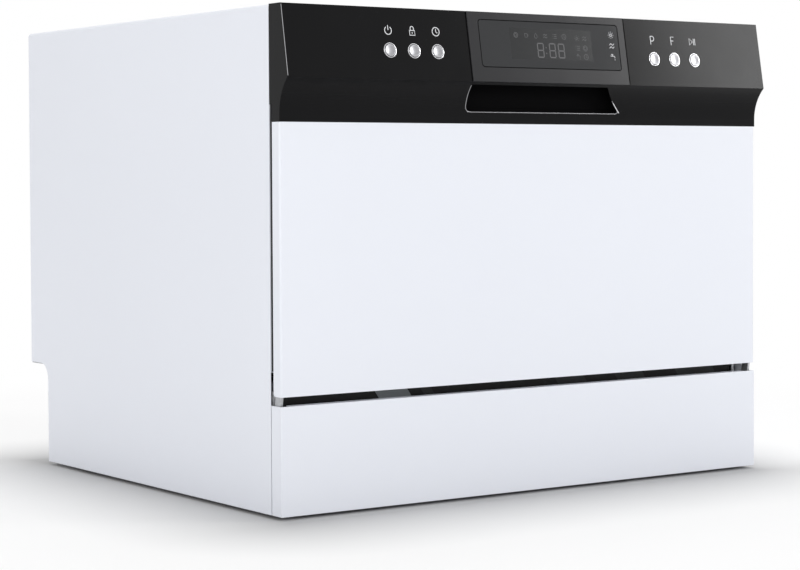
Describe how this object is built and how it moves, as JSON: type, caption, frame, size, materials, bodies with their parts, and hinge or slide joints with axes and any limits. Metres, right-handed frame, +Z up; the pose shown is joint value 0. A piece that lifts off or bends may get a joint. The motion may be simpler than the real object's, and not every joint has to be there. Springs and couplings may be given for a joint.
{
  "type": "countertop dishwasher",
  "caption": "Compact front-loading dishwasher with a drop-down door, gloss console with finger pocket, roller-guided wire rack, spray arm, filters, heater and pump base.",
  "frame": {"origin": "on the table under the middle of the body", "axes": "+X to the right seen from the door, +Y to the back, +Z up"},
  "size_m": [0.55, 0.5, 0.438],
  "materials": {
    "white_paint": "smooth baked white paint",
    "galvanised": "galvanised sheet",
    "stainless": "stainless sheet, satin",
    "black_plastic": "gloss black moulding",
    "dark_plastic": "matt dark moulding",
    "grey_plastic": "matt grey moulding",
    "light_plastic": "matt light moulding",
    "smoked": "smoked clear display window",
    "chrome": "bright plated",
    "silver_plastic": "moulding with a silver plated face",
    "rubber": "black rubber",
    "gasket": "dark grey soft rubber",
    "board": "green circuit board",
    "coated_wire": "white coated steel wire",
    "blue_plastic": "blue moulding",
    "pump_metal": "grey painted motor"
  },
  "bodies": {
    "cabinet": {"outer_wrapper": "white_paint", "rear_panel": "galvanised", "plinth_panel": "white_paint", "base_tray": "galvanised", "rubber_feet": "rubber", "front_crossmember": "galvanised", "tub_wrap": "stainless", "tub_back": "stainless", "tub_floor_pan": "stainless", "tub_gasket": "gasket", "rack_runners": "stainless", "sump": "dark_plastic", "flat_filter": "stainless", "spray_support": "dark_plastic", "wash_pump": "pump_metal", "drain_pump": "dark_plastic", "heater": "stainless", "inlet_valve": "light_plastic", "water_breather": "light_plastic", "control_box": "dark_plastic", "float_switch": "dark_plastic", "hinge_brackets": "galvanised", "hinge_pins": "galvanised", "door_springs": "galvanised", "latch_strike": "galvanised", "cord_grommet": "rubber"},
    "door": {"door_panel": "white_paint", "door_liner": "stainless", "console_shell": "black_plastic", "display_bezel": "black_plastic", "display_window": "smoked", "button_rings": "chrome", "control_board": "board", "handle_cup": "black_plastic", "dispenser_body": "light_plastic", "hinge_arms": "galvanised", "door_seal_strip": "gasket", "latch_housing": "dark_plastic"},
    "rack": {"rack_floor": "coated_wire", "rack_ends": "coated_wire", "rack_sides": "coated_wire", "rack_rails": "stainless", "plate_tines": "coated_wire"},
    "power_button": {"power_button": "silver_plastic"},
    "lock_button": {"lock_button": "silver_plastic"},
    "delay_button": {"delay_button": "silver_plastic"},
    "program_button": {"program_button": "silver_plastic"},
    "function_button": {"function_button": "silver_plastic"},
    "start_button": {"start_button": "silver_plastic"},
    "latch_plunger": {"latch_plunger": "dark_plastic"},
    "dispenser_lid": {"dispenser_lid": "light_plastic"},
    "rinse_cap": {"rinse_cap": "blue_plastic"},
    "cutlery_basket": {"cutlery_basket": "grey_plastic"},
    "cup_shelf": {"cup_shelf": "coated_wire"},
    "front_rollers": {"front_rollers": "light_plastic"},
    "rear_rollers": {"rear_rollers": "light_plastic"},
    "spray_arm": {"spray_arm": "grey_plastic"},
    "coarse_filter": {"coarse_filter": "grey_plastic"},
    "overflow_float": {"overflow_float": "light_plastic"}
  },
  "joints": [
    {"name": "door_hinge", "type": "hinge", "parent": "cabinet", "child": "door", "pos_m": [0, -0.22882, 0.113], "axis": [1, 0, 0], "range_deg": [0, 90], "stiffness_Nm_per_rad": 3.6, "deforming": ["door_springs"]},
    {"name": "rack_slide", "type": "slide", "parent": "cabinet", "child": "rack", "axis": [0, -1, 0], "range_m": [0, 0.2015]},
    {"name": "power_button_press", "type": "slide", "parent": "door", "child": "power_button", "axis": [0, 0.9851, -0.172], "range_m": [0, 0.0012], "stiffness_N_per_m": 900},
    {"name": "lock_button_press", "type": "slide", "parent": "door", "child": "lock_button", "axis": [0, 0.9851, -0.172], "range_m": [0, 0.0012], "stiffness_N_per_m": 900},
    {"name": "delay_button_press", "type": "slide", "parent": "door", "child": "delay_button", "axis": [0, 0.9851, -0.172], "range_m": [0, 0.0012], "stiffness_N_per_m": 900},
    {"name": "program_button_press", "type": "slide", "parent": "door", "child": "program_button", "axis": [0, 0.9851, -0.172], "range_m": [0, 0.0012], "stiffness_N_per_m": 900},
    {"name": "function_button_press", "type": "slide", "parent": "door", "child": "function_button", "axis": [0, 0.9851, -0.172], "range_m": [0, 0.0012], "stiffness_N_per_m": 900},
    {"name": "start_button_press", "type": "slide", "parent": "door", "child": "start_button", "axis": [0, 0.9851, -0.172], "range_m": [0, 0.0012], "stiffness_N_per_m": 900},
    {"name": "latch_press", "type": "slide", "parent": "door", "child": "latch_plunger", "axis": [0, 0, -1], "range_m": [0, 0.004], "stiffness_N_per_m": 1200},
    {"name": "dispenser_lid_slide", "type": "slide", "parent": "door", "child": "dispenser_lid", "axis": [-1, 0, 0], "range_m": [0, 0.05]},
    {"name": "rinse_cap_turn", "type": "hinge", "parent": "door", "child": "rinse_cap", "pos_m": [-0.022, -0.21082, 0.2525], "axis": [0, 1, 0], "range_deg": [0, 90]},
    {"name": "basket_lift", "type": "slide", "parent": "rack", "child": "cutlery_basket", "axis": [0, 0, 1], "range_m": [0, 0.1]},
    {"name": "cup_shelf_fold", "type": "hinge", "parent": "rack", "child": "cup_shelf", "pos_m": [-0.1963, 0, 0.236], "axis": [0, -1, 0], "range_deg": [0, 85]},
    {"name": "front_roller_spin", "type": "hinge", "parent": "cabinet", "child": "front_rollers", "pos_m": [0, -0.17382, 0.203], "axis": [1, 0, 0], "range_deg": [0, 1285]},
    {"name": "rear_roller_spin", "type": "hinge", "parent": "rack", "child": "rear_rollers", "pos_m": [0, 0.14, 0.2093], "axis": [1, 0, 0], "range_deg": [0, 965]},
    {"name": "spray_arm_spin", "type": "hinge", "parent": "cabinet", "child": "spray_arm", "pos_m": [0, 0, 0.144], "axis": [0, 0, 1], "continuous": true},
    {"name": "coarse_filter_twist", "type": "hinge", "parent": "cabinet", "child": "coarse_filter", "pos_m": [0.12, -0.11, 0.12], "axis": [0, 0, 1], "range_deg": [0, 45]},
    {"name": "float_lift", "type": "slide", "parent": "cabinet", "child": "overflow_float", "axis": [0, 0, 1], "range_m": [0, 0.006]}
  ],
  "couplings": [
    {"joint": "rack_slide", "follows": "door_hinge", "m_per_rad": 0.128},
    {"joint": "front_roller_spin", "follows": "door_hinge", "ratio": 14.222},
    {"joint": "rear_roller_spin", "follows": "door_hinge", "ratio": 10.667}
  ]
}
